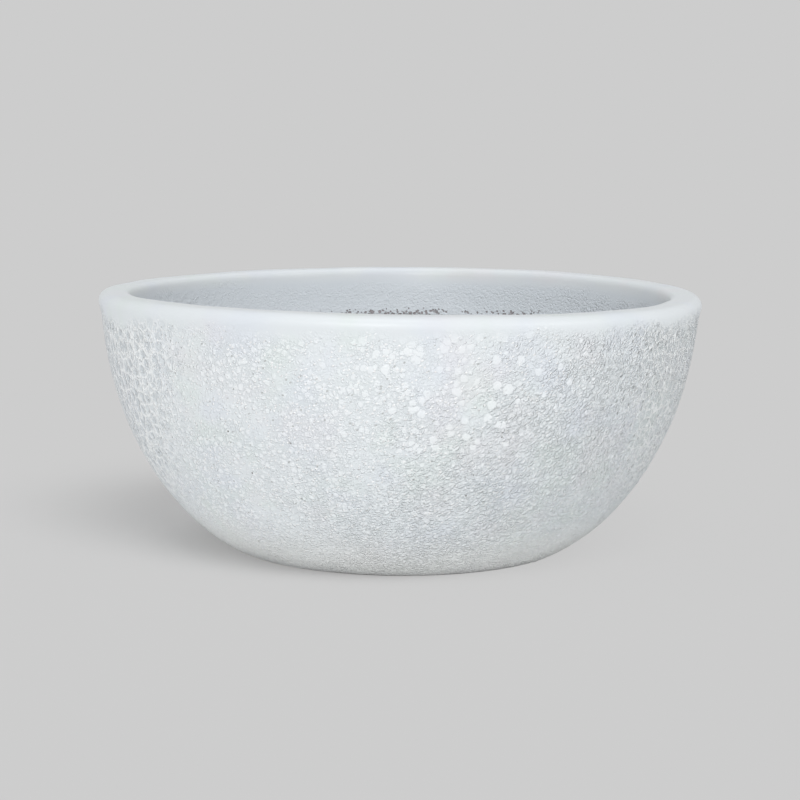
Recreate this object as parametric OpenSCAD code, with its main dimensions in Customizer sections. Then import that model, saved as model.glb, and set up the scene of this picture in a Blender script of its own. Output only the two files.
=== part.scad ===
// Low round bowl planter of fibre-reinforced concrete. The wall is laid up in a mould in three
// layers: a white textured face coat, a glass-fibre scrim and the grey concrete core that carries
// them. A rubber bung closes the drain hole in the floor and is pulled out from inside.
// Units are millimetres. The bowl stands on z = 0 with its axis on Z.

/* [Bowl] */
// Diameter over the rim, where the bowl is widest
rim_d = 525; // [420:5:640]
// Height from the ground to the top of the rim
bowl_h = 227.5; // [190:0.5:300]
// Diameter of the flat foot that the bowl stands on
foot_d = 268; // [200:2:320]
// Angle between the ground and the belly where it leaves the foot
foot_rise = 4.6; // [2:0.2:12]
// Length of belly that keeps close to the foot's direction
foot_pull = 20; // [10:1:40]
// Lean of the wall from upright, just below the flare that carries the lip
wall_draft = 5.7; // [2:0.1:10]
// Length of wall that keeps close to that lean
wall_pull = 147; // [120:1:170]

/* [Wall and lip] */
// Thickness of the whole wall, all layers together
wall_t = 26; // [20:1:34]
// Rounding of the lip on the outside
lip_outer_r = 8; // [5:0.5:12]
// Rounding of the lip on the inside
lip_inner_r = 5; // [4:0.5:9]
// Lean of the flare from upright, where it meets the lip
lip_lean = 17; // [12:1:20]
// Radius of the hollow curve that flares the wall out to the lip
flare_r = 70; // [40:5:80]

/* [Face coat] */
// Thickness of the white face coat
coat_t = 4; // [2:0.5:5]
// Height above the ground where the face coat starts
coat_edge_h = 1.5; // [0.6:0.1:4]
// Depth below the rim's top to which the coat runs down the inner wall
coat_return = 46; // [30:1:60]

/* [Glass-fibre scrim] */
// Thickness of the scrim
scrim_t = 1; // [0.6:0.1:2]
// Height of the scrim's lower edge above the ground
scrim_foot_h = 14; // [8:1:30]
// Depth of the scrim's upper edge below the foot of the flare
scrim_drop = 7.5; // [4:0.5:30]

/* [Floor and drain] */
// Thickness from the ground to the inner floor
floor_t = 27; // [20:1:40]
// Depth of the hollow under the foot
recess_h = 3; // [1.5:0.5:6]
// Width of the ring that the bowl stands on
ring_w = 30; // [15:1:45]
// Diameter of the drain hole
drain_d = 25; // [18:1:36]

/* [Drain bung] */
// How far the bung's flange laps over the floor round the drain hole
flange_lap = 8.5; // [4:0.5:14]
// Thickness of the bung's flange
flange_t = 4; // [3:0.5:8]
// How far the shank's end stays above the hollow under the foot
shank_short = 5; // [2:1:10]
// How far the sealing ribs stand out from the shank
rib_h = 1.2; // [0.6:0.1:2]
// Number of sealing ribs
rib_count = 3; // [2:1:4]
// Gap between the ribs and the drain hole, all round
rib_clear = 0.1; // [0.05:0.05:0.3]
// Gap between the flange and the floor
seat_clear = 0.1; // [0.05:0.05:0.3]
// Width of the pull tab
tab_w = 20; // [14:1:24]
// Thickness of the pull tab
tab_t = 6; // [4:0.5:10]
// Height of the pull tab above the flange
tab_h = 20; // [18:1:30]
// How far the grip ridges stand out from the pull tab, and their height
grip_ridge = 1; // [0.6:0.1:1.6]
// Number of grip ridges on each side of the pull tab
grip_count = 3; // [2:1:4]

/* [Hidden] */
$fn = 96;
// Steps along the belly, along a quarter of the lip and along the flare
belly_steps = 22;
lip_steps = 6;
flare_steps = 3;
eps = 0.01;

// The lip's two roundings are wider than the coat and together narrower than the wall
outer_r = max(coat_t + 1, min(lip_outer_r, 0.6 * wall_t));
inner_r = max(coat_t + 1, min(lip_inner_r, wall_t - outer_r - 1));

// The flare is tangent to the lip's outer rounding above and to the leaning wall below
lip_outer_c = [rim_d / 2 - outer_r, bowl_h - outer_r];
flare_c = lip_outer_c + (outer_r + flare_r) * [cos(lip_lean), -sin(lip_lean)];
wall_top = flare_c - flare_r * [cos(wall_draft), -sin(wall_draft)];
foot_edge = [foot_d / 2, 0];
foot_handle = foot_edge + foot_pull * [cos(foot_rise), sin(foot_rise)];
wall_handle = wall_top - wall_pull * [sin(wall_draft), cos(wall_draft)];

// The outside of the bowl is one smooth cubic curve from the foot to the flare
function belly(t) =
    pow(1 - t, 3) * foot_edge + 3 * t * pow(1 - t, 2) * foot_handle
    + 3 * t * t * (1 - t) * wall_handle + pow(t, 3) * wall_top;
function belly_along(t) =
    pow(1 - t, 2) * (foot_handle - foot_edge) + 2 * t * (1 - t) * (wall_handle - foot_handle)
    + t * t * (wall_top - wall_handle);
function belly_out(t) = let (v = belly_along(t)) [v.y, -v.x] / norm(v);

// A point of the belly that lies a depth below the outside
function under_belly(t, depth) = belly(t) - depth * belly_out(t);

// The place along the belly where a layer at a depth reaches a height
function belly_at(height, depth, lo = 0, hi = 1, turns = 24) =
    let (mid = (lo + hi) / 2)
    turns == 0 ? mid
    : under_belly(mid, depth).y < height ? belly_at(height, depth, mid, hi, turns - 1)
    : belly_at(height, depth, lo, mid, turns - 1);

// The lip's inner rounding is tangent to the inner wall and to the rim's top
inner_top = under_belly(1, wall_t);
wall_up = [sin(wall_draft), cos(wall_draft)];
lip_inner_seat = inner_top + inner_r * belly_out(1);
lip_inner_c = lip_inner_seat + wall_up * (bowl_h - inner_r - lip_inner_seat.y) / wall_up.y;

function reversed(points) = [for (i = [len(points) - 1:-1:0]) points[i]];
function spread(lo, hi, steps) = [for (i = [0:steps]) lo + (hi - lo) * i / steps];
function after_first(list) = [for (i = [1:len(list) - 1]) list[i]];
function before_last(list) = [for (i = [0:len(list) - 2]) list[i]];
function layer(places, depth) = [for (t = places) under_belly(t, depth)];
function arc(centre, r, angles) = [for (a = angles) centre + r * [cos(a), sin(a)]];

// Places along the belly: below the scrim, along the scrim, and above it
coat_start = belly_at(coat_edge_h, 0);
scrim_start = belly_at(scrim_foot_h, coat_t);
scrim_end = belly_at(wall_top.y - scrim_drop, coat_t);
places_foot = spread(0, coat_start, 3);
places_low = spread(coat_start, scrim_start, 4);
places_scrim = spread(scrim_start, scrim_end, belly_steps);
places_high = spread(scrim_end, 1, 2);
places_coat = concat(places_low, after_first(places_scrim), after_first(places_high));

// The lip, seen as a layer at a depth: up the flare, over the top and down the inside
flare_angles = after_first(spread(180 - wall_draft, 180 - lip_lean, flare_steps));
lip_outer_angles = after_first(spread(-lip_lean, 90, lip_steps));
lip_inner_angles = spread(90, 180 - wall_draft, lip_steps);
function lip(depth) =
    concat(arc(flare_c, flare_r + depth, flare_angles),
           arc(lip_outer_c, outer_r - depth, lip_outer_angles),
           arc(lip_inner_c, inner_r - depth, lip_inner_angles));

// Where the coat ends on the inner wall, always below the level of the flare
return_h = min(bowl_h - coat_return, inner_top.y - coat_t);
return_wall = belly_at(return_h, wall_t);
return_back = belly_at(return_h, wall_t - coat_t);
places_return_wall = spread(1, return_wall, 3);
places_return_back = spread(1, return_back, 3);

// The bowl's inside below the coat runs down to the edge of the level floor
floor_edge = belly_at(floor_t, wall_t);
floor_corner = [under_belly(floor_edge, wall_t).x, floor_t];
places_inside = before_last(spread(return_wall, floor_edge, belly_steps));

ring_inner_r = foot_d / 2 - ring_w;
drain_r = drain_d / 2;

module turned(outline) {
    rotate_extrude() polygon(outline);
}

// White cement face coat: outside wall, lip and a short return down the inner wall
module face_coat() {
    color("#DDE4E7")
    turned(concat(
        layer(places_coat, 0),
        lip(0),
        layer(places_return_wall, wall_t),
        reversed(layer(places_return_back, wall_t - coat_t)),
        reversed(lip(coat_t)),
        reversed(layer(places_coat, coat_t))
    ));
}

// Glass-fibre scrim between the coat and the core
module fibre_scrim() {
    color("#D9DCC8")
    turned(concat(
        layer(places_scrim, coat_t),
        reversed(layer(places_scrim, coat_t + scrim_t))
    ));
}

// Concrete core: wall, lip, floor with its drain hole, and the ring that it stands on
module core_shell() {
    color("#A9A59C")
    turned(concat(
        [[drain_r, recess_h], [ring_inner_r - recess_h, recess_h], [ring_inner_r, 0]],
        layer(places_foot, 0),
        layer(places_low, coat_t),
        layer(places_scrim, coat_t + scrim_t),
        layer(places_high, coat_t),
        lip(coat_t),
        layer(places_return_back, wall_t - coat_t),
        layer(places_inside, wall_t),
        [floor_corner, [drain_r, floor_t]]
    ));
}

// The bung hangs by its flange in the drain hole, with its ribs just clear of the bore
seat_z = floor_t + seat_clear;
shank_end_z = recess_h + shank_short;
shank_r = drain_r - rib_clear - rib_h;
flange_r = drain_r + flange_lap;
flange_top = seat_z + flange_t;
rib_pitch = (seat_z - shank_end_z) / (rib_count + 1);
// A rib is a flat-topped wedge, narrow below so that it slides in
function rib(i) =
    let (z = shank_end_z + (i + 0.8) * rib_pitch)
    [[shank_r, z], [shank_r + rib_h, z + rib_pitch * 0.35],
     [shank_r + rib_h, z + rib_pitch * 0.45], [shank_r, z + rib_pitch * 0.55]];

// Rubber bung: ribbed shank, flange on the floor, and a ridged tab to pull it by
module drain_bung() {
    tab_r = tab_w / 2;
    tab_eye_z = flange_top + tab_h - tab_r;
    flange_round = flange_t / 4;
    tip_r = shank_r - rib_h;
    grip_pitch = (tab_eye_z - flange_top) / (grip_count - 1);
    color("#35373A")
    union() {
        turned(concat(
            [[0, shank_end_z], [tip_r, shank_end_z], [shank_r, shank_end_z + rib_h]],
            [for (i = [0:rib_count - 1]) each rib(i)],
            [[shank_r, seat_z], [flange_r - flange_round, seat_z],
             [flange_r, seat_z + flange_round], [flange_r, flange_top - flange_round],
             [flange_r - flange_round, flange_top], [0, flange_top]]
        ));
        translate([-tab_r, -tab_t / 2, flange_top - eps])
            cube([tab_w, tab_t, tab_eye_z - flange_top + eps]);
        translate([0, tab_t / 2, tab_eye_z])
            rotate([90, 0, 0]) cylinder(r = tab_r, h = tab_t);
        for (i = [0:grip_count - 1])
            translate([0, 0, tab_eye_z + tab_r / 2 - grip_ridge / 2 - i * grip_pitch])
                translate([-tab_r / 2, -tab_t / 2 - grip_ridge, 0])
                    cube([tab_r, tab_t + 2 * grip_ridge, grip_ridge]);
    }
}

face_coat();
fibre_scrim();
core_shell();
drain_bung();
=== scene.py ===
"""Low round bowl planter of white-faced, fibre-reinforced concrete, on a plain studio floor.

Everything is in metres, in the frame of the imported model: the bowl stands on z = 0 with its axis
on Z. Patterns on the surfaces are given in millimetres.
"""
import math

import bpy
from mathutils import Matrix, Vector, noise


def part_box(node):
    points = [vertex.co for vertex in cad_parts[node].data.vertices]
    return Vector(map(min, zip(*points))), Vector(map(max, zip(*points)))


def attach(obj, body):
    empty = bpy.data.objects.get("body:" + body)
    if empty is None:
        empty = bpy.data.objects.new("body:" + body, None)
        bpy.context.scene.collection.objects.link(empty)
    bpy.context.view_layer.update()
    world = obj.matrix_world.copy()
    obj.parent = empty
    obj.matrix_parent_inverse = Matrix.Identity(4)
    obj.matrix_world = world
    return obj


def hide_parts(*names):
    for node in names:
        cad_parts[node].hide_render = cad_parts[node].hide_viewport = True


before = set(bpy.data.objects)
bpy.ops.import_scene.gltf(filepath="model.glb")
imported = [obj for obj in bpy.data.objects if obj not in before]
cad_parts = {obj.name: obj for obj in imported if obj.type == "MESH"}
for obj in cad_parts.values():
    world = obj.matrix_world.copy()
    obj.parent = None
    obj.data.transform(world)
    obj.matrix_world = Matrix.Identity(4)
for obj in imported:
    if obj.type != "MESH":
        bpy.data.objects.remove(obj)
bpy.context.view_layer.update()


# ---------------------------------------------------------------------------------------------
# Camera. It stands two metres in front, somewhat higher than the rim, and looks slightly down.
# The photograph was taken a touch out of level, so the bowl's right side sits lower.
# ---------------------------------------------------------------------------------------------
camera_side = 0.0008
camera_off = 2.0
camera_height = 0.3971
camera_dip = math.radians(7.615)
camera_roll = math.radians(0.51)
sensor_width = 36.0
lens_length = 102.86

camera_data = bpy.data.cameras.new("studio_camera")
camera_data.sensor_width = sensor_width
camera_data.lens = lens_length
camera = bpy.data.objects.new("studio_camera", camera_data)
camera.location = (camera_side, -camera_off, camera_height)
camera.rotation_mode = "ZYX"
camera.rotation_euler = (math.pi / 2 - camera_dip, 0, camera_roll)
bpy.context.scene.collection.objects.link(camera)
bpy.context.scene.camera = camera


# ---------------------------------------------------------------------------------------------
# Face coat. White cement with fine sand, sprayed into the mould before the concrete goes in. Air
# and water caught against the mould leave its skin covered in beads, flat plates and small pits.
# The lip is rubbed smooth by hand, and the coat runs over it and a little way down the inside.
# ---------------------------------------------------------------------------------------------
coat_low, coat_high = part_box("face_coat")
rim_r = coat_high.x
bowl_h = coat_high.z
coat_edge_h = coat_low.z
foot_r = 0.134
foot_rise = math.radians(4.6)
foot_pull = 0.020
wall_draft = math.radians(5.7)
wall_pull = 0.147
wall_t = 0.026
lip_outer_r = 0.008
lip_inner_r = 0.005
lip_lean = math.radians(17)
flare_r = 0.070
coat_t = 0.004
coat_return = 0.046

# One millimetre, and how near two points have to be to count as one
mm = 0.001
same_point = 1e-6

# The outside is one smooth cubic curve from the foot up to a hollow flare that carries the lip,
# seen in the plane of x and z
lip_outer_centre = Vector((rim_r - lip_outer_r, bowl_h - lip_outer_r))
flare_out = Vector((math.cos(lip_lean), -math.sin(lip_lean)))
flare_centre = lip_outer_centre + (lip_outer_r + flare_r) * flare_out
wall_out = Vector((math.cos(wall_draft), -math.sin(wall_draft)))
wall_up = Vector((math.sin(wall_draft), math.cos(wall_draft)))
wall_top = flare_centre - flare_r * wall_out
foot_edge = Vector((foot_r, 0))
foot_handle = foot_edge + foot_pull * Vector((math.cos(foot_rise), math.sin(foot_rise)))
wall_handle = wall_top - wall_pull * wall_up

# The lip's inner rounding is tangent to the inner wall and to the top of the rim
inner_top = wall_top - wall_t * wall_out
lip_inner_seat = inner_top + lip_inner_r * wall_out
lip_inner_rise = bowl_h - lip_inner_r - lip_inner_seat.y
lip_inner_centre = lip_inner_seat + wall_up * lip_inner_rise / wall_up.y


def under_belly(along, depth):
    """A point of the wall, from the foot (0) to the flare (1), at a depth below the outside."""
    back = 1 - along
    point = (back**3 * foot_edge + 3 * along * back**2 * foot_handle
             + 3 * along**2 * back * wall_handle + along**3 * wall_top)
    way = (back**2 * (foot_handle - foot_edge) + 2 * along * back * (wall_handle - foot_handle)
           + along**2 * (wall_top - wall_handle)).normalized()
    return point - depth * Vector((way.y, -way.x))


def belly_at(height, depth):
    """How far along the wall a layer at this depth reaches a height."""
    low, high = 0.0, 1.0
    halvings = 30
    for _ in range(halvings):
        middle = (low + high) / 2
        if under_belly(middle, depth).y < height:
            low = middle
        else:
            high = middle
    return low


def wall_line(start, end, depth):
    """The wall's line at a depth, from one place along it to another."""
    steps = 120
    return [under_belly(start + (end - start) * i / steps, depth) for i in range(steps + 1)]


def arc(centre, radius, start, end, steps=24):
    """Points round a centre, from one angle in degrees to another."""
    turn = [math.radians(start + (end - start) * i / steps) for i in range(steps + 1)]
    return [centre + radius * Vector((math.cos(a), math.sin(a))) for a in turn]


def lip_line(depth):
    """The lip's line at a depth: up the flare, across the top and down the inside."""
    draft = math.degrees(wall_draft)
    lean = math.degrees(lip_lean)
    return (arc(flare_centre, flare_r + depth, 180 - draft, 180 - lean)
            + arc(lip_outer_centre, lip_outer_r - depth, -lean, 90)
            + arc(lip_inner_centre, lip_inner_r - depth, 90, 180 - draft))


def evenly(points, spacing):
    """The same line with its points about one spacing apart."""
    run = [0.0]
    for here, there in zip(points, points[1:]):
        run.append(run[-1] + (there - here).length)
    count = max(1, round(run[-1] / spacing))
    line = [points[0]]
    step = 0
    for i in range(1, count):
        target = run[-1] * i / count
        while run[step + 1] < target:
            step += 1
        share = (target - run[step]) / (run[step + 1] - run[step])
        line.append(points[step].lerp(points[step + 1], share))
    return line + [points[-1]]


def draw_section(name, points):
    """Draws a closed outline in the plane of x and z, extruding one corner from the last."""
    bpy.ops.object.select_all(action="DESELECT")
    bpy.ops.mesh.primitive_plane_add()
    piece = bpy.context.object
    piece.name = piece.data.name = name
    bpy.ops.object.mode_set(mode="EDIT")
    bpy.ops.mesh.merge(type="CENTER")
    bpy.ops.transform.translate(value=(points[0].x, 0, points[0].y))
    for here, there in zip(points, points[1:] + points[:1]):
        step = there - here
        bpy.ops.mesh.extrude_vertices_move(TRANSFORM_OT_translate={"value": (step.x, 0, step.y)})
    bpy.ops.object.mode_set(mode="OBJECT")
    return piece


def apply(piece, modifier):
    """Applies one modifier of a piece."""
    bpy.context.view_layer.objects.active = piece
    bpy.ops.object.modifier_apply(modifier=modifier.name)


def turn_section(piece, steps):
    """Turns the outline once round the bowl's axis, closes the seam and faces it outwards."""
    turned = piece.modifiers.new("turned", "SCREW")
    turned.axis = "Z"
    turned.steps = turned.render_steps = steps
    turned.use_merge_vertices = True
    turned.merge_threshold = same_point
    apply(piece, turned)
    bpy.ops.object.select_all(action="DESELECT")
    piece.select_set(True)
    bpy.ops.object.mode_set(mode="EDIT")
    bpy.ops.mesh.select_all(action="SELECT")
    bpy.ops.mesh.remove_doubles(threshold=same_point)
    bpy.ops.mesh.normals_make_consistent(inside=False)
    bpy.ops.object.mode_set(mode="OBJECT")
    bpy.ops.object.shade_smooth()


def linear(hex_colour):
    """An sRGB hex colour as linear values, with alpha."""
    parts = [int(hex_colour[i:i + 2], 16) / 255 for i in (1, 3, 5)]
    return [c / 12.92 if c <= 0.04045 else ((c + 0.055) / 1.055) ** 2.4 for c in parts] + [1.0]


def add_node(tree, kind, inputs, out=0, **settings):
    """Adds a node with its settings, links or sets its inputs, and hands back one output."""
    node = tree.nodes.new(kind)
    for name, value in settings.items():
        setattr(node, name, value)
    for key, value in inputs.items():
        if isinstance(value, bpy.types.NodeSocket):
            tree.links.new(value, node.inputs[key])
        else:
            node.inputs[key].default_value = value
    return node.outputs[out]


# Settings of nodes that come back often: a change that starts and ends softly, one number times
# another with a third added, the distance to the edge of a cell, and a mix of two colours
soft = {"interpolation_type": "SMOOTHSTEP"}
times_and = {"operation": "MULTIPLY_ADD"}
to_edge = {"feature": "DISTANCE_TO_EDGE"}
in_colour = {"data_type": "RGBA", "out": 2}


def cast_relief(tree, place):
    """The skin that the mould leaves at a place in millimetres: heights in millimetres and masks.

    The same nodes shape the mesh and finish the material, so the two always agree.
    """
    side = add_node(tree, "ShaderNodeSeparateXYZ", {0: place}, out="X")
    height = side.node.outputs["Z"]
    flat = add_node(tree, "ShaderNodeVectorMath", {0: place, 1: (1, 1, 0)}, operation="MULTIPLY")
    radius = add_node(tree, "ShaderNodeVectorMath", {0: flat}, out="Value", operation="LENGTH")

    # Where the skin is beaded: not on the rubbed lip, and less at the foot and on the inner wall
    drift = add_node(tree, "ShaderNodeTexNoise",
                     {"Vector": place, "Scale": 1 / 46.0, "Detail": 2.0, "Roughness": 0.55})
    ragged_height = add_node(tree, "ShaderNodeMath", {0: drift, 1: 30.0, 2: height}, **times_and)
    off_lip = add_node(tree, "ShaderNodeMapRange",
                       {"Value": ragged_height, "From Min": 235.0, "From Max": 219.0}, **soft)
    off_foot = add_node(tree, "ShaderNodeMapRange",
                        {"Value": ragged_height, "From Min": 14.0, "From Max": 24.0, "To Min": 0.5},
                        **soft)
    at_inner_wall = add_node(tree, "ShaderNodeMapRange",
                             {"Value": radius, "From Min": 243.0, "From Max": 239.0}, **soft)
    inside = add_node(tree, "ShaderNodeMapRange",
                      {"Value": height, "From Min": 150.0, "From Max": 160.0,
                       "To Max": at_inner_wall})
    faint_inside = add_node(tree, "ShaderNodeMapRange",
                            {"Value": inside, "To Min": 1.0, "To Max": 0.4})
    beaded = add_node(tree, "ShaderNodeMath", {0: off_lip, 1: off_foot}, operation="MULTIPLY")
    beaded = add_node(tree, "ShaderNodeMath", {0: beaded, 1: faint_inside}, operation="MULTIPLY")

    # What changes over the wall: flat plates gather in the upper middle of the front, small beads
    # are packed in slow drifts and thin out low on the right, and both flanks differ from the rest
    plates_at = (35.0, -240.0, 190.0)
    from_plates = add_node(tree, "ShaderNodeVectorMath", {0: place, 1: plates_at}, out="Value",
                           operation="DISTANCE")
    fewer_plates = add_node(tree, "ShaderNodeMapRange",
                            {"Value": from_plates, "From Min": 40.0, "From Max": 120.0,
                             "To Min": 0.16, "To Max": -0.22})
    packed = add_node(tree, "ShaderNodeMapRange",
                      {"Value": drift, "From Min": 0.36, "From Max": 0.52, "To Min": 0.45}, **soft)
    low_right = add_node(tree, "ShaderNodeMath", {0: height, 1: -0.9, 2: side}, **times_and)
    low_right = add_node(tree, "ShaderNodeMath", {0: drift, 1: 160.0, 2: low_right}, **times_and)
    grainy = add_node(tree, "ShaderNodeMapRange",
                      {"Value": low_right, "From Max": 150.0, "To Min": 1.0, "To Max": 0.6})
    plenty = add_node(tree, "ShaderNodeMath", {0: packed, 1: grainy}, operation="MULTIPLY")
    plenty = add_node(tree, "ShaderNodeMath", {0: plenty, 1: 0.35, 2: -0.32}, **times_and)
    aside = add_node(tree, "ShaderNodeMath", {0: side}, operation="ABSOLUTE")
    flank = add_node(tree, "ShaderNodeMapRange",
                     {"Value": aside, "From Min": 165.0, "From Max": 215.0, "To Max": beaded},
                     **soft)
    left = add_node(tree, "ShaderNodeMapRange",
                    {"Value": side, "From Min": -160.0, "From Max": -205.0, "To Max": beaded})
    right = add_node(tree, "ShaderNodeMapRange",
                     {"Value": side, "From Min": 120.0, "From Max": 190.0, "To Max": beaded})

    # Most patterns sway, so that no outline in them is a true circle
    sway = add_node(tree, "ShaderNodeTexNoise",
                    {"Vector": place, "Scale": 1 / 5.0, "Detail": 1.0}, out="Color")
    swayed = add_node(tree, "ShaderNodeVectorMath", {0: sway, 1: (2.2, 2.2, 2.2), 2: place},
                      **times_and)
    trembled = add_node(tree, "ShaderNodeVectorMath", {0: sway, 1: (0.8, 0.8, 0.8), 2: place},
                        **times_and)

    # Beads of three sizes. Each cell of a pattern holds one bead with a radius of its own, or none.
    # In each row: size of the cells in millimetres; in cells, how far radii vary, what is added to
    # them, how wide the rounded edge is; height in millimetres; what thins the beads out; pattern
    bead_kinds = [
        (8.0, 0.85, -0.26, 0.08, 0.30, fewer_plates, swayed),
        (4.8, 0.64, 0.14, 0.13, 0.40, plenty, swayed),
        (2.3, 0.40, 0.36, 0.26, 0.42, plenty, trembled),
    ]
    domes = []
    bead, bead_rise = 0.0, 0.0
    for size, vary, more, edge, rise, thinned, pattern in bead_kinds:
        centre = add_node(tree, "ShaderNodeTexVoronoi", {"Vector": pattern, "Scale": 1 / size})
        own = centre.node.outputs["Color"]
        reach = add_node(tree, "ShaderNodeMath", {0: own, 1: vary, 2: thinned}, **times_and)
        reach = add_node(tree, "ShaderNodeMath", {0: reach, 1: more}, operation="ADD")
        top_reach = add_node(tree, "ShaderNodeMath", {0: reach, 1: edge}, operation="SUBTRACT")
        dome = add_node(tree, "ShaderNodeMapRange",
                        {"Value": centre, "From Min": reach, "From Max": top_reach}, **soft)
        gap = add_node(tree, "ShaderNodeTexVoronoi", {"Vector": pattern, "Scale": 1 / size},
                       **to_edge)
        apart = add_node(tree, "ShaderNodeMapRange",
                         {"Value": gap, "From Max": edge, "To Max": beaded}, **soft)
        dome = add_node(tree, "ShaderNodeMath", {0: dome, 1: apart}, operation="MULTIPLY")
        domes.append(dome)
        bead = add_node(tree, "ShaderNodeMath", {0: dome, 1: bead}, operation="MAXIMUM")
        dome = add_node(tree, "ShaderNodeMath", {0: dome, 1: rise}, operation="MULTIPLY")
        bead_rise = add_node(tree, "ShaderNodeMath", {0: dome, 1: bead_rise}, operation="MAXIMUM")
    plate = domes[0]
    off_plates = add_node(tree, "ShaderNodeMath", {0: plate, 1: -0.75, 2: 1.0}, **times_and)
    off_plates = add_node(tree, "ShaderNodeMath", {0: off_plates, 1: beaded}, operation="MULTIPLY")

    # The skin between the beads is cobbled like leather, in cells drawn out a little the way the
    # wet coat slid. The grooves between them are deepest low down and on the right
    cobble_size = 2.8
    slide = (0.87, 0.0, 0.50)
    draw_out = (-0.38, -0.38, -0.38)
    along = add_node(tree, "ShaderNodeVectorMath", {0: place, 1: slide}, out="Value",
                     operation="DOT_PRODUCT")
    slid = add_node(tree, "ShaderNodeVectorMath", {0: slide, "Scale": along}, operation="SCALE")
    pressed = add_node(tree, "ShaderNodeVectorMath", {0: slid, 1: draw_out, 2: trembled},
                       **times_and)
    cobble = add_node(tree, "ShaderNodeTexVoronoi", {"Vector": pressed, "Scale": 1 / cobble_size})
    cobble_pick = add_node(tree, "ShaderNodeSeparateXYZ", {0: cobble.node.outputs["Color"]})
    cobble_rise = add_node(tree, "ShaderNodeMapRange", {"Value": cobble_pick, "To Min": 0.45})
    cobble_gap = add_node(tree, "ShaderNodeTexVoronoi",
                          {"Vector": pressed, "Scale": 1 / cobble_size}, **to_edge)
    cobble = add_node(tree, "ShaderNodeMapRange",
                      {"Value": cobble_gap, "From Min": 0.01, "From Max": 0.30,
                       "To Max": cobble_rise}, **soft)
    leathery = add_node(tree, "ShaderNodeMapRange",
                        {"Value": low_right, "From Min": -130.0, "From Max": 150.0,
                         "To Min": 0.35, "To Max": 1.8}, **soft)
    off_left = add_node(tree, "ShaderNodeMath", {0: left, 1: -0.7, 2: 1.0}, **times_and)
    for share in (off_plates, off_left):
        leathery = add_node(tree, "ShaderNodeMath", {0: leathery, 1: share}, operation="MULTIPLY")
    leather = add_node(tree, "ShaderNodeMath", {0: leathery, 1: cobble}, operation="MULTIPLY")
    # The grooves between the cobbles; the material darkens them with painted shade
    hollow = add_node(tree, "ShaderNodeMath", {0: leathery, 1: leather}, operation="SUBTRACT")

    # On both flanks, scales with thin ridges between them, dished on the left and cratered on the
    # right. The material paints shade into the dishes and craters and a highlight on the ridges
    scale_size = 9.0
    crater_size = 6.5
    dish = add_node(tree, "ShaderNodeTexVoronoi", {"Vector": swayed, "Scale": 1 / scale_size})
    dish = add_node(tree, "ShaderNodeMapRange",
                    {"Value": dish, "From Min": 0.48, "From Max": 0.26, "To Max": left}, **soft)
    ridge = add_node(tree, "ShaderNodeTexVoronoi", {"Vector": swayed, "Scale": 1 / scale_size},
                     **to_edge)
    ridge = add_node(tree, "ShaderNodeMapRange",
                     {"Value": ridge, "From Min": 0.13, "From Max": 0.02, "To Max": flank}, **soft)
    crater = add_node(tree, "ShaderNodeTexVoronoi", {"Vector": pressed, "Scale": 1 / crater_size})
    crater = add_node(tree, "ShaderNodeMapRange",
                      {"Value": crater, "From Min": 0.24, "From Max": 0.12, "To Max": right},
                      **soft)

    # Between and on the beads, single grains of sand: some stand up and are painted near white as
    # glints, and a few have come away and left a pinhole. They are drawn coarser than fine sand is,
    # so that they show
    sand_size = 2.4
    standing_over = 0.62
    lost_under = 0.05
    sandy = add_node(tree, "ShaderNodeMath", {0: grainy, 1: off_plates}, operation="MULTIPLY")
    sand = add_node(tree, "ShaderNodeTexVoronoi", {"Vector": pressed, "Scale": 1 / sand_size})
    sand_pick = add_node(tree, "ShaderNodeSeparateXYZ", {0: sand.node.outputs["Color"]})
    sand = add_node(tree, "ShaderNodeMapRange",
                    {"Value": sand, "From Min": 0.42, "From Max": 0.20, "To Max": sandy}, **soft)
    glint = add_node(tree, "ShaderNodeMath", {0: sand_pick, 1: standing_over},
                     operation="GREATER_THAN")
    glint = add_node(tree, "ShaderNodeMath", {0: sand, 1: glint}, operation="MULTIPLY")
    pinhole = add_node(tree, "ShaderNodeMath", {0: sand_pick, 1: lost_under}, operation="LESS_THAN")
    pinhole = add_node(tree, "ShaderNodeMath", {0: sand, 1: pinhole}, operation="MULTIPLY")

    # Slow waves of the laid-up wall, fine grit and a few open pits
    wave = add_node(tree, "ShaderNodeTexNoise", {"Vector": place, "Scale": 1 / 70.0, "Detail": 1.0})
    wave = add_node(tree, "ShaderNodeMath", {0: wave, 1: 0.5}, operation="SUBTRACT")
    grit = add_node(tree, "ShaderNodeTexNoise",
                    {"Vector": place, "Scale": 1 / 0.9, "Detail": 2.0, "Roughness": 0.6})
    pit = add_node(tree, "ShaderNodeTexVoronoi", {"Vector": place, "Scale": 1 / 27.0})
    pit = add_node(tree, "ShaderNodeMapRange",
                   {"Value": pit, "From Min": 0.014, "From Max": 0.040, "To Min": 1.0,
                    "To Max": 0.0}, **soft)
    pit = add_node(tree, "ShaderNodeMath", {0: pit, 1: beaded}, operation="MULTIPLY")

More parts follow.
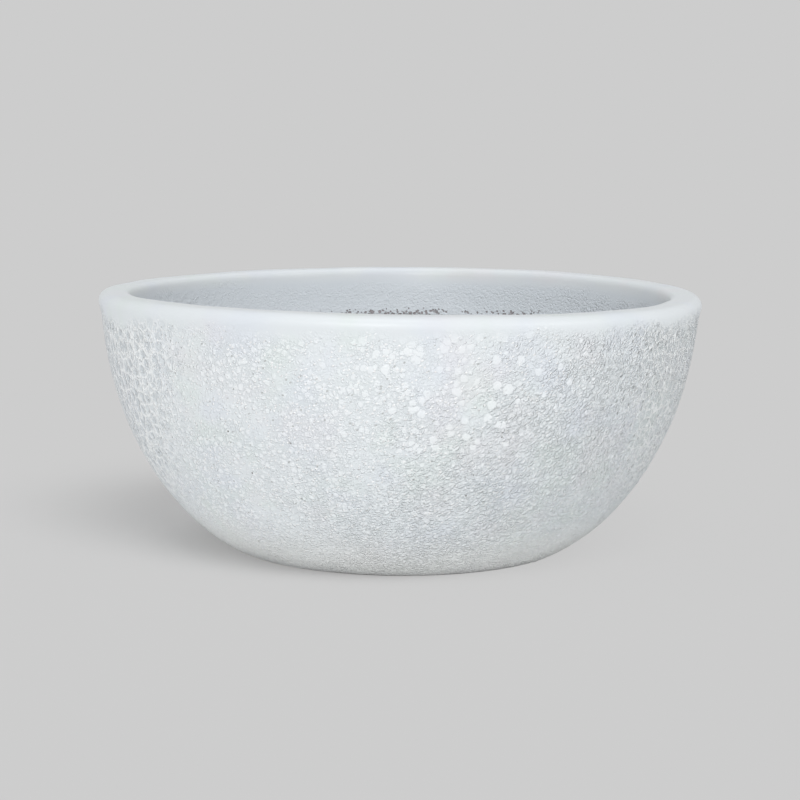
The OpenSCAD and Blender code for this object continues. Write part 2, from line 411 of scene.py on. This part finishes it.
    # On the inner wall, a row of dark holes where the coat thins out above its lower edge
    hole_size = 3.2
    hole_edge = 0.16
    hole_height = add_node(tree, "ShaderNodeMath", {0: side, 1: -0.022, 2: height}, **times_and)
    hole_reach = add_node(tree, "ShaderNodeMapRange",
                          {"Value": hole_height, "From Min": 187.0, "From Max": 191.5,
                           "To Min": 0.50, "To Max": 0.06})
    hole_drift = add_node(tree, "ShaderNodeTexNoise",
                          {"Vector": place, "Scale": 1 / 22.0, "Detail": 1.0})
    hole_drift = add_node(tree, "ShaderNodeMapRange",
                          {"Value": hole_drift, "From Min": 0.36, "From Max": 0.50,
                           "To Min": -0.12, "To Max": 0.0})
    hole_reach = add_node(tree, "ShaderNodeMath", {0: hole_reach, 1: hole_drift}, operation="ADD")
    hole_core = add_node(tree, "ShaderNodeMath", {0: hole_reach, 1: hole_edge},
                         operation="SUBTRACT")
    hole = add_node(tree, "ShaderNodeTexVoronoi", {"Vector": swayed, "Scale": 1 / hole_size})
    hole = add_node(tree, "ShaderNodeMapRange",
                    {"Value": hole, "From Min": hole_reach, "From Max": hole_core}, **soft)
    hole = add_node(tree, "ShaderNodeMath", {0: hole, 1: inside}, operation="MULTIPLY")

    # The form shapes the mesh, and the skin, finer than its faces, is left to the material. Every
    # part is given with its height in millimetres, and hollows have one below nothing
    form = add_node(tree, "ShaderNodeMath", {0: wave, 1: 1.6}, operation="MULTIPLY")
    form = add_node(tree, "ShaderNodeMath", {0: plate, 1: 0.40, 2: form}, **times_and)
    skin = bead_rise
    for part, rise in ((leather, 1.10), (ridge, 0.35), (crater, -0.6), (dish, -0.6), (glint, 0.45),
                       (pinhole, -0.25), (grit, 0.05), (pit, -0.8), (hole, -1.0)):
        skin = add_node(tree, "ShaderNodeMath", {0: part, 1: rise, 2: skin}, **times_and)
    return {"form": form, "skin": skin, "bead": bead, "beaded": beaded, "packed": packed,
            "plate": plate, "hollow": hollow, "flank": flank, "ridge": ridge, "crater": crater,
            "dish": dish, "glint": glint, "pinhole": pinhole, "pit": pit, "hole": hole,
            "inside": inside, "height": height, "grit": grit}


coat_spacing = 0.0026
coat_back_spacing = 0.020
coat_turns = 660
coat_start = belly_at(coat_edge_h, 0)
return_h = bowl_h - coat_return
return_face = belly_at(return_h, wall_t)
return_back = belly_at(return_h, wall_t - coat_t)

coat_front = evenly(wall_line(coat_start, 1, 0) + lip_line(0) + wall_line(1, return_face, wall_t),
                    coat_spacing)
coat_back = evenly(wall_line(return_back, 1, wall_t - coat_t) + lip_line(coat_t)[::-1]
                   + wall_line(1, coat_start, coat_t), coat_back_spacing)

coat = draw_section("face_coat_cast", coat_front + coat_back)
shown = coat.vertex_groups.new(name="shown")
shown.add(range(1, len(coat_front) - 1), 1.0, "REPLACE")
turn_section(coat, coat_turns)


def shape_skin(piece, group, relief):
    """Moves the points of a group along their normals by the form of a relief, for good."""
    tree = bpy.data.node_groups.new("shape_skin", "GeometryNodeTree")
    tree.interface.new_socket("Geometry", in_out="INPUT", socket_type="NodeSocketGeometry")
    tree.interface.new_socket("Geometry", in_out="OUTPUT", socket_type="NodeSocketGeometry")
    mesh_in = tree.nodes.new("NodeGroupInput").outputs[0]
    here = add_node(tree, "GeometryNodeInputPosition", {})
    place = add_node(tree, "ShaderNodeVectorMath", {0: here, "Scale": 1 / mm}, operation="SCALE")
    amount = add_node(tree, "GeometryNodeInputNamedAttribute", {"Name": group}, data_type="FLOAT")
    depth = relief(tree, place)["form"]
    depth = add_node(tree, "ShaderNodeMath", {0: depth, 1: amount}, operation="MULTIPLY")
    depth = add_node(tree, "ShaderNodeMath", {0: depth, 1: mm}, operation="MULTIPLY")
    normal = add_node(tree, "GeometryNodeInputNormal", {})
    move = add_node(tree, "ShaderNodeVectorMath", {0: normal, "Scale": depth}, operation="SCALE")
    moved = add_node(tree, "GeometryNodeSetPosition", {"Geometry": mesh_in, "Offset": move})
    tree.links.new(moved, tree.nodes.new("NodeGroupOutput").inputs[0])
    modifier = piece.modifiers.new("shape_skin", "NODES")
    modifier.node_group = tree
    apply(piece, modifier)
    bpy.data.node_groups.remove(tree)


def rag_edge(piece):
    """Leaves the coat's lower edge on the inner wall ragged: here and there it ends higher up."""
    reach = 0.012
    most = 0.0015
    patch_size = 0.009
    for vertex in piece.data.vertices:
        above = vertex.co.z - return_h
        if vertex.co.xy.length < rim_r - wall_t + coat_t and -same_point < above < reach:
            patch = noise.noise(vertex.co.xy.to_3d() / patch_size) + 0.5
            vertex.co.z += most * min(1, max(0, patch)) * (1 - max(0, above) / reach)


def warp_rim(piece):
    """The rim dried out of level: a little high in front and behind and low at the sides."""
    warp = 0.0015
    high_side = math.radians(67)
    warp_from = 0.14
    for vertex in piece.data.vertices:
        turn = math.atan2(vertex.co.y, vertex.co.x)
        share = min(1, max(0, (vertex.co.z - warp_from) / (bowl_h - warp_from)))
        vertex.co.z += warp * share * share * (3 - 2 * share) * math.cos(2 * (turn - high_side))


rag_edge(coat)
shape_skin(coat, "shown", cast_relief)
warp_rim(coat)


def start_material(name):
    """A new material, its nodes, its shader, and the place on the piece in millimetres."""
    material = bpy.data.materials.new(name)
    material.use_nodes = True
    tree = material.node_tree
    here = add_node(tree, "ShaderNodeTexCoord", {}, out="Object")
    place = add_node(tree, "ShaderNodeVectorMath", {0: here, "Scale": 1 / mm}, operation="SCALE")
    return material, tree, tree.nodes["Principled BSDF"], place


def finish_material(tree, shader, colour, relief, depth):
    """Gives a shader its colour and a fine relief of one depth in metres."""
    bump = add_node(tree, "ShaderNodeBump", {"Height": relief, "Distance": depth}, out="Normal")
    tree.links.new(colour, shader.inputs["Base Color"])
    tree.links.new(bump, shader.inputs["Normal"])


# White cement facing, cast against a mould: a cool white with a satin sheen that is duller on the
# grit, dark in the open pits, with faint lilac, green and pink clouds. Shade is painted into the
# grooves, hollows, dishes and craters, highlights onto bead tops, ridges and standing grains, and
# the inner wall below the lip is greyer, partly its own duller tone and partly painted shade.
white_cement, tree, shader, place = start_material("white_cement_facing")
white_cement.cycles.use_bump_map_correction = False
skin = cast_relief(tree, place)
cloud = add_node(tree, "ShaderNodeTexNoise", {"Vector": place, "Scale": 1 / 52.0, "Detail": 2.0},
                 out="Color")
clouds = add_node(tree, "ShaderNodeSeparateColor", {0: cloud}).node.outputs
colour = linear("#E8EDF0")
for tint, amount in zip(("#D9DFF0", "#DDEBE0", "#EAE3E8"), clouds):
    amount = add_node(tree, "ShaderNodeMapRange",
                      {"Value": amount, "From Min": 0.5, "From Max": 0.7, "To Max": 0.28}, **soft)
    colour = add_node(tree, "ShaderNodeMix", {0: amount, 6: colour, 7: linear(tint)}, **in_colour)
rubbed = add_node(tree, "ShaderNodeMath", {0: skin["beaded"], 1: -0.22, 2: 0.22}, **times_and)
scale_grey = add_node(tree, "ShaderNodeMath", {0: skin["flank"], 1: 0.3}, operation="MULTIPLY")
# Painted shade in the grooves between the cobbles, stronger low down on the wall
cobble_groove_shade = add_node(tree, "ShaderNodeMapRange",
                       {"Value": skin["height"], "From Min": 150.0, "From Max": 60.0,
                        "To Min": 0.04, "To Max": 0.20})
cobble_groove_shade = add_node(tree, "ShaderNodeMath", {0: cobble_groove_shade, 1: skin["hollow"]},
                       operation="MULTIPLY")
beady = add_node(tree, "ShaderNodeMath", {0: skin["beaded"], 1: skin["packed"]},
                 operation="MULTIPLY")
# Painted shade in the gaps between the packed beads
bead_gap_shade = add_node(tree, "ShaderNodeMapRange",
                  {"Value": skin["bead"], "From Max": 0.6, "To Min": 0.36, "To Max": 0.0})
bead_gap_shade = add_node(tree, "ShaderNodeMath", {0: bead_gap_shade, 1: beady}, operation="MULTIPLY")
# Painted highlight on the tops of the packed beads
bead_top_highlight = add_node(tree, "ShaderNodeMapRange",
                    {"Value": skin["bead"], "From Min": 0.6, "To Max": 0.4})
bead_top_highlight = add_node(tree, "ShaderNodeMath", {0: bead_top_highlight, 1: beady}, operation="MULTIPLY")
plate_top = add_node(tree, "ShaderNodeMath", {0: skin["plate"], 1: 0.1}, operation="MULTIPLY")
# The inner wall below the lip is made greyer: partly its own duller tone, partly painted shade
# inside the bowl
inner_wall_tone_and_shade = add_node(tree, "ShaderNodeMapRange",
                     {"Value": skin["height"], "From Min": 223.0, "From Max": 213.0,
                      "To Max": skin["inside"]})
foot_grey = add_node(tree, "ShaderNodeMapRange",
                     {"Value": skin["height"], "From Min": 10.0, "From Max": 60.0,
                      "To Min": 0.6, "To Max": 0.0}, **soft)
# Tints laid over the white in turn. Painted shade: the cobble grooves, the gaps between beads, the
# craters and the dishes. Painted highlights: the bead tops, the ridges and the standing grains
# (glint). The inner wall's grey is partly its own tone and partly painted shade.
coat_tints = [
    (rubbed, "#D0D6DA"), (scale_grey, "#CFD5D8"), (cobble_groove_shade, "#BFC5C8"), (bead_gap_shade, "#C8CED1"),
    (bead_top_highlight, "#F4F7F9"), (skin["ridge"], "#F4F7F8"), (skin["crater"], "#B9BDBF"),
    (skin["dish"], "#D6DCE0"), (plate_top, "#F0F4F6"), (skin["glint"], "#F9FAFB"),
    (skin["pinhole"], "#C3C6C6"), (inner_wall_tone_and_shade, "#D7DEE5"), (foot_grey, "#E8E8E5"),
    (skin["pit"], "#8C8A86"), (skin["hole"], "#9C979B"),
]
for amount, tint in coat_tints:
    colour = add_node(tree, "ShaderNodeMix", {0: amount, 6: colour, 7: linear(tint)}, **in_colour)
rough = add_node(tree, "ShaderNodeMapRange",
                 {"Value": skin["grit"], "From Min": 0.3, "From Max": 0.7, "To Min": 0.30,
                  "To Max": 0.52})
tree.links.new(rough, shader.inputs["Roughness"])
shader.inputs["IOR"].default_value = 1.5
finish_material(tree, shader, colour, skin["skin"], mm)
coat.data.materials.append(white_cement)

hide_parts("face_coat")
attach(coat, "bowl")


# ---------------------------------------------------------------------------------------------
# Core shell. Grey glass-fibre concrete pressed against the scrim by hand, with its drain hole cast
# in. Its inside is the trowelled face that the soil lies against, and its ring is what stands.
# ---------------------------------------------------------------------------------------------
floor_t = 0.027
recess_h = 0.003
ring_w = 0.030
drain_r = 0.0125
drain_chamfer = 0.0015
scrim_t = 0.001
core_spacing = 0.0034
core_back_spacing = 0.012
core_turns = 420

ring_inner_r = foot_r - ring_w
floor_edge = belly_at(floor_t, wall_t)
drain_mouth = Vector((drain_r + drain_chamfer, recess_h))
drain_lip = Vector((drain_r + drain_chamfer, floor_t))
core_shown = evenly(wall_line(return_face, floor_edge, wall_t) + [drain_lip], core_spacing)
core_hole = [Vector((drain_r, floor_t - drain_chamfer)),
             Vector((drain_r, recess_h + drain_chamfer)), drain_mouth]
core_foot = evenly([drain_mouth, Vector((ring_inner_r - recess_h, recess_h))],
                   core_back_spacing)[1:]
core_back = evenly(wall_line(coat_start, 1, coat_t + scrim_t) + lip_line(coat_t)
                   + wall_line(1, return_back, wall_t - coat_t), core_back_spacing)
core_ring = [Vector((ring_inner_r, 0)), foot_edge, under_belly(coat_start, 0)]

core = draw_section("core_shell_cast", core_shown + core_hole + core_foot + core_ring + core_back)
core_face = core.vertex_groups.new(name="shown")
core_face.add(range(2, len(core_shown) - 2), 1.0, "REPLACE")
turn_section(core, core_turns)


def trowel_relief(tree, place):
    """The trowelled inside at a place in millimetres: slow waves, grit and blow holes."""
    form = add_node(tree, "ShaderNodeTexNoise",
                    {"Vector": place, "Scale": 1 / 55.0, "Detail": 3.0, "Roughness": 0.5})
    form = add_node(tree, "ShaderNodeMath", {0: form, 1: 0.5}, operation="SUBTRACT")
    form = add_node(tree, "ShaderNodeMath", {0: form, 1: 3.0}, operation="MULTIPLY")
    grit = add_node(tree, "ShaderNodeTexNoise",
                    {"Vector": place, "Scale": 1 / 1.6, "Detail": 4.0, "Roughness": 0.65})
    hole = add_node(tree, "ShaderNodeTexVoronoi", {"Vector": place, "Scale": 1 / 11.0})
    hole = add_node(tree, "ShaderNodeMapRange",
                    {"Value": hole, "From Min": 0.07, "From Max": 0.14, "To Min": 1.0,
                     "To Max": 0.0}, **soft)
    skin = add_node(tree, "ShaderNodeMath", {0: grit, 1: 0.35}, operation="MULTIPLY")
    skin = add_node(tree, "ShaderNodeMath", {0: hole, 1: -0.9, 2: skin}, **times_and)
    return {"form": form, "skin": skin, "grit": grit, "hole": hole}


shape_skin(core, "shown", trowel_relief)
warp_rim(core)

# Grey fibre-reinforced concrete, trowelled wet: a matt warm grey with paler cement bloom, grit and
# small blow holes. White slurry from the coat has run down over the top of it.
grey_concrete, tree, shader, place = start_material("trowelled_grey_concrete")
trowelled = trowel_relief(tree, place)
bloom = add_node(tree, "ShaderNodeTexNoise",
                 {"Vector": place, "Scale": 1 / 60.0, "Detail": 5.0, "Roughness": 0.6})
bloom = add_node(tree, "ShaderNodeMapRange", {"Value": bloom, "From Min": 0.35, "From Max": 0.65})
speck = add_node(tree, "ShaderNodeMapRange",
                 {"Value": trowelled["grit"], "From Min": 0.35, "From Max": 0.65, "To Min": 0.5,
                  "To Max": 0.0})
height = add_node(tree, "ShaderNodeSeparateXYZ", {0: place}, out="Z")
slurry = add_node(tree, "ShaderNodeTexNoise",
                  {"Vector": place, "Scale": 1 / 9.0, "Detail": 3.0, "Roughness": 0.6})
slurry = add_node(tree, "ShaderNodeMath", {0: slurry, 1: 26.0, 2: height}, **times_and)
slurry = add_node(tree, "ShaderNodeMapRange",
                  {"Value": slurry, "From Min": 188.0, "From Max": 196.0}, **soft)
colour = linear("#A8A6A0")
for amount, tint in ((bloom, "#BDBCB7"), (speck, "#8B8882"), (trowelled["hole"], "#7A7772"),
                     (slurry, "#D5D8D8")):
    colour = add_node(tree, "ShaderNodeMix", {0: amount, 6: colour, 7: linear(tint)}, **in_colour)
shader.inputs["Roughness"].default_value = 0.85
finish_material(tree, shader, colour, trowelled["skin"], mm)
core.data.materials.append(grey_concrete)

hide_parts("core_shell")
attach(core, "bowl")


# ---------------------------------------------------------------------------------------------
# Fibre scrim. Open mesh of alkali-proof glass rovings, pressed into the back of the wet face coat
# so that the thin coat and the core hold together. It is bedded all over and shows nowhere.
# ---------------------------------------------------------------------------------------------
scrim_foot_h = 0.014
scrim_drop = 0.0075
scrim_spacing = 0.012
scrim_turns = 120
roving_w = 0.0009

scrim_start = belly_at(scrim_foot_h, coat_t)
scrim_end = belly_at(wall_top.y - scrim_drop, coat_t)
scrim_line = evenly(wall_line(scrim_start, scrim_end, coat_t + scrim_t / 2), scrim_spacing)

# A drawn outline is closed, so the edge from its last point back to its first comes off again
scrim = draw_section("fibre_scrim_mesh", scrim_line)
bpy.ops.object.mode_set(mode="EDIT")
bpy.ops.mesh.select_all(action="DESELECT")
bpy.ops.object.mode_set(mode="OBJECT")
scrim_last = len(scrim_line)
for edge in scrim.data.edges:
    edge.select = scrim_last in edge.vertices
bpy.ops.object.mode_set(mode="EDIT")
bpy.ops.mesh.delete(type="EDGE")
bpy.ops.object.mode_set(mode="OBJECT")
turn_section(scrim, scrim_turns)
rovings = scrim.modifiers.new("rovings", "WIREFRAME")
rovings.thickness = roving_w
rovings.use_even_offset = True
rovings.use_boundary = True
apply(scrim, rovings)
warp_rim(scrim)

# Alkali-proof glass rovings: pale greenish white bundles with a silky sheen. Their strands are
# drawn half a millimetre wide, far coarser than glass fibres are, so that they show.
glass_roving, tree, shader, place = start_material("glass_roving")
strand = add_node(tree, "ShaderNodeTexNoise", {"Vector": place, "Scale": 1 / 0.5, "Detail": 2.0})
colour = add_node(tree, "ShaderNodeMix",
                  {0: strand, 6: linear("#C9CCB8"), 7: linear("#E6E8DA")}, **in_colour)
shader.inputs["Roughness"].default_value = 0.4
finish_material(tree, shader, colour, strand, 0.2 * mm)
scrim.data.materials.append(glass_roving)

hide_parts("fibre_scrim")
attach(scrim, "bowl")


# ---------------------------------------------------------------------------------------------
# Drain bung. Moulded black rubber, with ribs that grip the drain hole, a flange that seals on the
# floor and a ridged tab to pull it out by. It is pushed in from above and lifts straight out.
# ---------------------------------------------------------------------------------------------
bung_clear = 0.0001
flange_t = 0.004
flange_r = drain_r + 0.0085
flange_round_r = flange_t / 4
shank_end_z = recess_h + 0.005
rib_h = 0.0012
shank_r = drain_r - bung_clear - rib_h
rib_count = 3
rib_start = 0.8
rib_rise = 0.35
rib_top = 0.45
rib_end = 0.55
bung_turns = 96
tab_w = 0.020
tab_t = 0.006
tab_h = 0.020
tab_root = 0.001
tab_sides = 64
tab_edge_r = 0.0012
tab_edge_steps = 4
grip_r = 0.001
grip_count = 3
grip_sides = 24
facing_down = -0.9
crease_angle = math.radians(40)
upright = (math.pi / 2, 0, 0)
sideways = (0, math.pi / 2, 0)

seat_z = floor_t + bung_clear
flange_top = seat_z + flange_t
rib_pitch = (seat_z - shank_end_z) / (rib_count + 1)
ribs = []
for i in range(rib_count):
    rib_z = shank_end_z + (i + rib_start) * rib_pitch
    ribs += [Vector((shank_r, rib_z)), Vector((shank_r + rib_h, rib_z + rib_pitch * rib_rise)),
             Vector((shank_r + rib_h, rib_z + rib_pitch * rib_top)),
             Vector((shank_r, rib_z + rib_pitch * rib_end))]
flange_low = Vector((flange_r - flange_round_r, seat_z + flange_round_r))
flange_high = Vector((flange_r - flange_round_r, flange_top - flange_round_r))
bung_line = ([Vector((0, shank_end_z)), Vector((shank_r - rib_h, shank_end_z)),
              Vector((shank_r, shank_end_z + rib_h))] + ribs + [Vector((shank_r, seat_z))]
             + arc(flange_low, flange_round_r, -90, 0, steps=4)
             + arc(flange_high, flange_round_r, 0, 90, steps=4) + [Vector((0, flange_top))])
bung = draw_section("drain_bung_moulded", bung_line)
turn_section(bung, bung_turns)


def add_rod(name, sides, radius, depth, height, turn):
    """A round rod on the bung's axis, turned on its side."""
    bpy.ops.object.select_all(action="DESELECT")
    bpy.ops.mesh.primitive_cylinder_add(vertices=sides, radius=radius, depth=depth,
                                        location=(0, 0, height), rotation=turn)
    rod = bpy.context.object
    rod.name = rod.data.name = name
    bpy.ops.object.transform_apply(location=True, rotation=True, scale=True)
    bpy.ops.object.mode_set(mode="EDIT")
    bpy.ops.mesh.select_all(action="SELECT")
    return rod


# The tab is the upper half of a disc, drawn down from its flat side into the flange
tab_r = tab_w / 2
tab_eye_z = flange_top + tab_h - tab_r
tab = add_rod("pull_tab", tab_sides, tab_r, tab_t, tab_eye_z, upright)
bpy.ops.mesh.bisect(plane_co=(0, 0, tab_eye_z), plane_no=(0, 0, 1), use_fill=True, clear_inner=True)
bpy.ops.mesh.select_all(action="DESELECT")
bpy.ops.object.mode_set(mode="OBJECT")
for face in tab.data.polygons:
    face.select = face.normal.z < facing_down
bpy.ops.object.mode_set(mode="EDIT")
tab_drop = flange_top - tab_root - tab_eye_z
bpy.ops.mesh.extrude_region_move(TRANSFORM_OT_translate={"value": (0, 0, tab_drop)})
bpy.ops.mesh.select_all(action="SELECT")
bpy.ops.mesh.normals_make_consistent(inside=False)
bpy.ops.object.mode_set(mode="OBJECT")
tab_soft = tab.modifiers.new("tab_soft", "BEVEL")
tab_soft.width = tab_edge_r
tab_soft.segments = tab_edge_steps
tab_soft.limit_method = "ANGLE"
apply(tab, tab_soft)

# Each grip is a rod across the tab, stretched until it stands proud of both its faces
grip_pitch = (tab_eye_z - flange_top) / (grip_count - 1)
grip_stretch = (tab_t / 2 + grip_r) / grip_r
moulded_on = [tab]
for i in range(grip_count):
    grip_z = tab_eye_z + tab_r / 2 - i * grip_pitch
    grip = add_rod("grip", grip_sides, grip_r, tab_r, grip_z, sideways)
    bpy.ops.transform.resize(value=(1, grip_stretch, 1), center_override=(0, 0, grip_z))
    bpy.ops.object.mode_set(mode="OBJECT")
    moulded_on.append(grip)
for part in moulded_on:
    join = bung.modifiers.new("moulded_on", "BOOLEAN")
    join.operation = "UNION"
    join.solver = "EXACT"
    join.object = part
    apply(bung, join)
    bpy.data.objects.remove(part)
bpy.ops.object.select_all(action="DESELECT")
bung.select_set(True)
bpy.context.view_layer.objects.active = bung
bpy.ops.object.shade_smooth_by_angle(angle=crease_angle)

# Black EPDM rubber, compression moulded: a dull charcoal with a patchy grey bloom and a fine
# grain, drawn half a millimetre wide so that it shows.
black_rubber, tree, shader, place = start_material("moulded_black_rubber")
bloom = add_node(tree, "ShaderNodeTexNoise", {"Vector": place, "Scale": 1 / 9.0, "Detail": 4.0})
bloom = add_node(tree, "ShaderNodeMapRange",
                 {"Value": bloom, "From Min": 0.4, "From Max": 0.7, "To Max": 0.6})
colour = add_node(tree, "ShaderNodeMix",
                  {0: bloom, 6: linear("#303234"), 7: linear("#4A4B4B")}, **in_colour)
grain = add_node(tree, "ShaderNodeTexNoise", {"Vector": place, "Scale": 1 / 0.5, "Detail": 1.0})
rough = add_node(tree, "ShaderNodeMapRange",
                 {"Value": grain, "From Min": 0.3, "From Max": 0.7, "To Min": 0.48,
                  "To Max": 0.62})
tree.links.new(rough, shader.inputs["Roughness"])
finish_material(tree, shader, colour, grain, 0.06 * mm)
bung.data.materials.append(black_rubber)

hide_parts("drain_bung")
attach(bung, "bung")


# ---------------------------------------------------------------------------------------------
# Studio. A plain pale grey floor that runs out into a backdrop of the same grey. The bowl is lit by
# a lamp low in front, a little to the left, and more weakly from the right, from above and from
# below. The floor has a lamp of its own, on the right, that throws the bowl's shadow to the left.
# ---------------------------------------------------------------------------------------------
studio_grey = linear("#CDCDCD")
floor_r = 9.0
floor_sides = 96
sky_strength = 0.62
shadow_at = (-0.22, 0.20, 0)
contact_at = (-0.06, 0, 0)

bpy.ops.object.select_all(action="DESELECT")
bpy.ops.mesh.primitive_circle_add(vertices=floor_sides, radius=floor_r, fill_type="NGON")
floor = bpy.context.object
floor.name = floor.data.name = "studio_floor"
bpy.ops.object.transform_apply(location=True, rotation=True, scale=True)

# Matt grey paper. The camera sees it mostly evened out to the backdrop's one grey, and least of all
# on the left of the bowl and right beside it, where its shadow falls. What the paper throws back on
# the bowl is a paler grey than the one it shows, as the photograph's lit underside needs.
paper = bpy.data.materials.new("matt_paper_roll")
paper.use_nodes = True
tree = paper.node_tree
shader = tree.nodes["Principled BSDF"]
shader.inputs["Roughness"].default_value = 1.0
shader.inputs["Specular IOR Level"].default_value = 0.0
spot = add_node(tree, "ShaderNodeTexCoord", {}, out="Object")
from_shadow = add_node(tree, "ShaderNodeVectorMath", {0: spot, 1: shadow_at}, out="Value",
                       operation="DISTANCE")
from_contact = add_node(tree, "ShaderNodeVectorMath", {0: spot, 1: contact_at}, out="Value",
                        operation="DISTANCE")
from_bowl = add_node(tree, "ShaderNodeVectorMath", {0: spot}, out="Value", operation="LENGTH")
even_shadow = add_node(tree, "ShaderNodeMapRange",
                       {"Value": from_shadow, "From Min": 0.08, "From Max": 0.38,
                        "To Min": 0.42, "To Max": 0.90}, **soft)
even_contact = add_node(tree, "ShaderNodeMapRange",
                        {"Value": from_contact, "From Min": 0.11, "From Max": 0.19,
                         "To Min": 0.65}, **soft)
even_far = add_node(tree, "ShaderNodeMapRange",
                    {"Value": from_bowl, "From Min": 0.5, "From Max": 1.1}, **soft)
even = add_node(tree, "ShaderNodeMath", {0: even_shadow, 1: even_contact}, operation="MULTIPLY")
even = add_node(tree, "ShaderNodeMath", {0: even, 1: even_far}, operation="MAXIMUM")
rays = add_node(tree, "ShaderNodeLightPath", {}).node.outputs
looked_at = add_node(tree, "ShaderNodeMath",
                     {0: rays["Is Camera Ray"], 1: rays["Is Glossy Ray"]}, operation="MAXIMUM")
even = add_node(tree, "ShaderNodeMath", {0: even, 1: looked_at}, operation="MULTIPLY")
paper_grey = add_node(tree, "ShaderNodeMix",
                      {0: looked_at, 6: linear("#ECECEC"), 7: studio_grey}, **in_colour)
tree.links.new(paper_grey, shader.inputs["Base Color"])
plain_grey = add_node(tree, "ShaderNodeEmission", {"Color": studio_grey, "Strength": 1.0})
paper_look = add_node(tree, "ShaderNodeMixShader", {0: even, 1: shader.outputs[0], 2: plain_grey})
tree.links.new(paper_look, tree.nodes["Material Output"].inputs["Surface"])
floor.data.materials.append(paper)

world = bpy.data.worlds.new("studio_sky")
world.use_nodes = True
tree = world.node_tree
tree.nodes.clear()
sky = add_node(tree, "ShaderNodeBackground", {"Color": (1, 1, 1, 1), "Strength": sky_strength})
backdrop = add_node(tree, "ShaderNodeBackground", {"Color": studio_grey, "Strength": 1.0})
rays = add_node(tree, "ShaderNodeLightPath", {}).node.outputs
looked_at = add_node(tree, "ShaderNodeMath",
                     {0: rays["Is Camera Ray"], 1: rays["Is Glossy Ray"]}, operation="MAXIMUM")
both = add_node(tree, "ShaderNodeMixShader", {0: looked_at, 1: sky, 2: backdrop})
tree.links.new(both, tree.nodes.new("ShaderNodeOutputWorld").inputs["Surface"])
bpy.context.scene.world = world

bowl_only = bpy.data.collections.new("lit_bowl")
floor_only = bpy.data.collections.new("lit_floor")
for piece in (coat, core, scrim, bung):
    bowl_only.objects.link(piece)
floor_only.objects.link(floor)

# name, direction round from the camera (degrees, positive to the right), elevation, strength in
# watts per square metre, spread of the lamp in degrees, and what it lights
lamps = [
    ("key_lamp", -12, 18, 0.80, 8, bowl_only),
    ("right_lamp", 60, 25, 0.38, 20, bowl_only),
    ("top_lamp", -14, 72, 0.50, 20, bowl_only),
    ("low_lamp", 0, -55, 0.18, 30, bowl_only),
    ("floor_lamp", 14, 45, 1.72, 34, floor_only),
]
for name, bearing, elevation, strength, spread, lit in lamps:
    lamp_data = bpy.data.lights.new(name, "SUN")
    lamp_data.energy = strength
    lamp_data.angle = math.radians(spread)
    lamp = bpy.data.objects.new(name, lamp_data)
    lamp.rotation_mode = "XYZ"
    lamp.rotation_euler = (math.radians(90 - elevation), 0, math.radians(bearing))
    lamp.light_linking.receiver_collection = lit
    lamp.light_linking.blocker_collection = bowl_only
    bpy.context.scene.collection.objects.link(lamp)

bpy.context.scene.view_settings.view_transform = "Standard"
